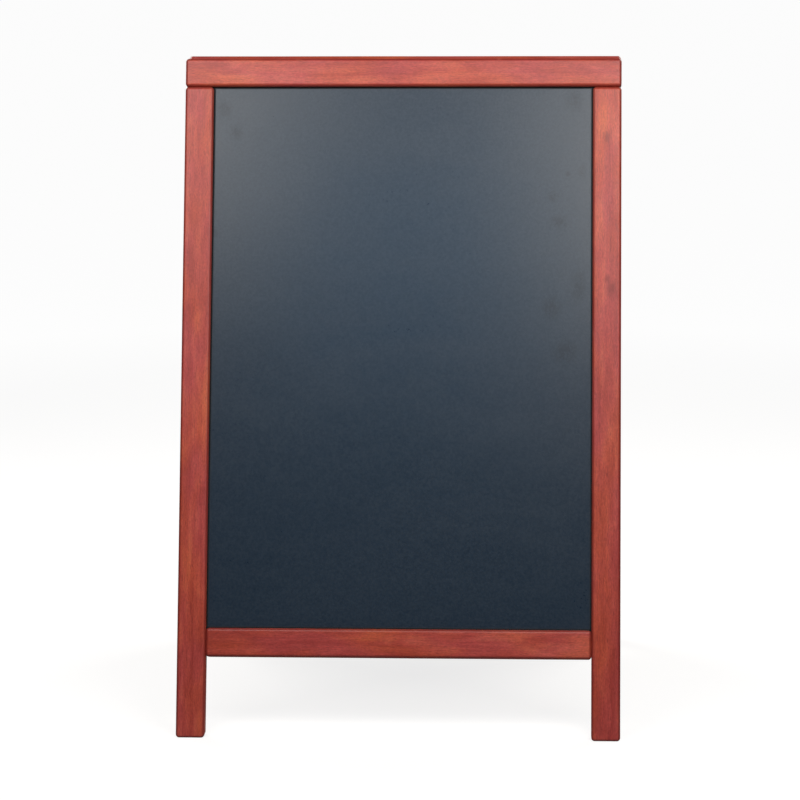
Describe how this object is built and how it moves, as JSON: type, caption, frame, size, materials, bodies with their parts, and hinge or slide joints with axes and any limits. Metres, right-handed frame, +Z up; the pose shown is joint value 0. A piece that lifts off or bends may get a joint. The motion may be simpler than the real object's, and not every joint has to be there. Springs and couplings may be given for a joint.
{
  "type": "sandwich board",
  "caption": "Folding A-frame pavement sign: two stained hardwood frames with chalkboard panels, hinged at the top and held open by folding side stays.",
  "frame": {"origin": "on the floor, midway between the four feet, with the board open", "axes": "+Z up, +X along the board's width towards the right of the front view, -Y out of the front board"},
  "size_m": [0.55, 0.5162, 0.8208],
  "materials": {
    "mahogany_stained_wood": "mahogany stain under a satin varnish",
    "chalkboard": "painted hardboard, matt slate blue with a soft sheen",
    "beech": "bare, turned dowel",
    "brass": "satin, lightly tarnished",
    "zinc_plated_steel": "bright zinc plate"
  },
  "bodies": {
    "front_frame": {"front_bottom_rail": "mahogany_stained_wood", "front_chalkboard": "chalkboard", "front_left_bottom_dowel_1": "beech", "front_left_bottom_dowel_2": "beech", "front_left_stile": "mahogany_stained_wood", "front_left_top_dowel_1": "beech", "front_left_top_dowel_2": "beech", "front_right_bottom_dowel_1": "beech", "front_right_bottom_dowel_2": "beech", "front_right_stile": "mahogany_stained_wood", "front_right_top_dowel_1": "beech", "front_right_top_dowel_2": "beech", "front_top_rail": "mahogany_stained_wood", "left_hinge_front_leaf": "brass", "left_hinge_front_leaf_screw_1": "brass", "left_hinge_front_leaf_screw_2": "brass", "left_hinge_pin": "brass", "left_stay_front_pivot_screw": "zinc_plated_steel", "left_stay_front_washer": "zinc_plated_steel", "right_hinge_front_leaf": "brass", "right_hinge_front_leaf_screw_1": "brass", "right_hinge_front_leaf_screw_2": "brass", "right_hinge_pin": "brass", "right_stay_front_pivot_screw": "zinc_plated_steel", "right_stay_front_washer": "zinc_plated_steel"},
    "rear_frame": {"left_hinge_rear_leaf": "brass", "left_hinge_rear_leaf_screw_1": "brass", "left_hinge_rear_leaf_screw_2": "brass", "left_stay_rear_pivot_screw": "zinc_plated_steel", "left_stay_rear_washer": "zinc_plated_steel", "rear_bottom_rail": "mahogany_stained_wood", "rear_chalkboard": "chalkboard", "rear_left_bottom_dowel_1": "beech", "rear_left_bottom_dowel_2": "beech", "rear_left_stile": "mahogany_stained_wood", "rear_left_top_dowel_1": "beech", "rear_left_top_dowel_2": "beech", "rear_right_bottom_dowel_1": "beech", "rear_right_bottom_dowel_2": "beech", "rear_right_stile": "mahogany_stained_wood", "rear_right_top_dowel_1": "beech", "rear_right_top_dowel_2": "beech", "rear_top_rail": "mahogany_stained_wood", "right_hinge_rear_leaf": "brass", "right_hinge_rear_leaf_screw_1": "brass", "right_hinge_rear_leaf_screw_2": "brass", "right_stay_rear_pivot_screw": "zinc_plated_steel", "right_stay_rear_washer": "zinc_plated_steel"},
    "left_front_arm": {"left_stay_front_arm": "zinc_plated_steel", "left_stay_knee_rivet_front_half": "zinc_plated_steel"},
    "left_rear_arm": {"left_stay_rear_arm": "zinc_plated_steel", "left_stay_knee_rivet_rear_half": "zinc_plated_steel"},
    "right_front_arm": {"right_stay_front_arm": "zinc_plated_steel", "right_stay_knee_rivet_front_half": "zinc_plated_steel"},
    "right_rear_arm": {"right_stay_rear_arm": "zinc_plated_steel", "right_stay_knee_rivet_rear_half": "zinc_plated_steel"}
  },
  "joints": [
    {"name": "fold", "type": "hinge", "parent": "front_frame", "child": "rear_frame", "pos_m": [0, 0, 0.81098], "axis": [1, 0, 0], "range_deg": [-32, 0]},
    {"name": "left_front_arm_pivot", "type": "hinge", "parent": "front_frame", "child": "left_front_arm", "pos_m": [-0.2354, -0.10057, 0.49652], "axis": [1, 0, 0], "range_deg": [0, 69.5]},
    {"name": "left_rear_arm_pivot", "type": "hinge", "parent": "rear_frame", "child": "left_rear_arm", "pos_m": [-0.2354, 0.10057, 0.49652], "axis": [1, 0, 0], "range_deg": [-69.5, 0]},
    {"name": "right_front_arm_pivot", "type": "hinge", "parent": "front_frame", "child": "right_front_arm", "pos_m": [0.2354, -0.10057, 0.49652], "axis": [1, 0, 0], "range_deg": [0, 69.5]},
    {"name": "right_rear_arm_pivot", "type": "hinge", "parent": "rear_frame", "child": "right_rear_arm", "pos_m": [0.2354, 0.10057, 0.49652], "axis": [1, 0, 0], "range_deg": [-69.5, 0]}
  ],
  "couplings": [
    {"joint": "left_front_arm_pivot", "follows": "fold", "ratio": -2.1342},
    {"joint": "left_rear_arm_pivot", "follows": "fold", "ratio": 2.1342},
    {"joint": "right_front_arm_pivot", "follows": "fold", "ratio": -2.1342},
    {"joint": "right_rear_arm_pivot", "follows": "fold", "ratio": 2.1342}
  ]
}
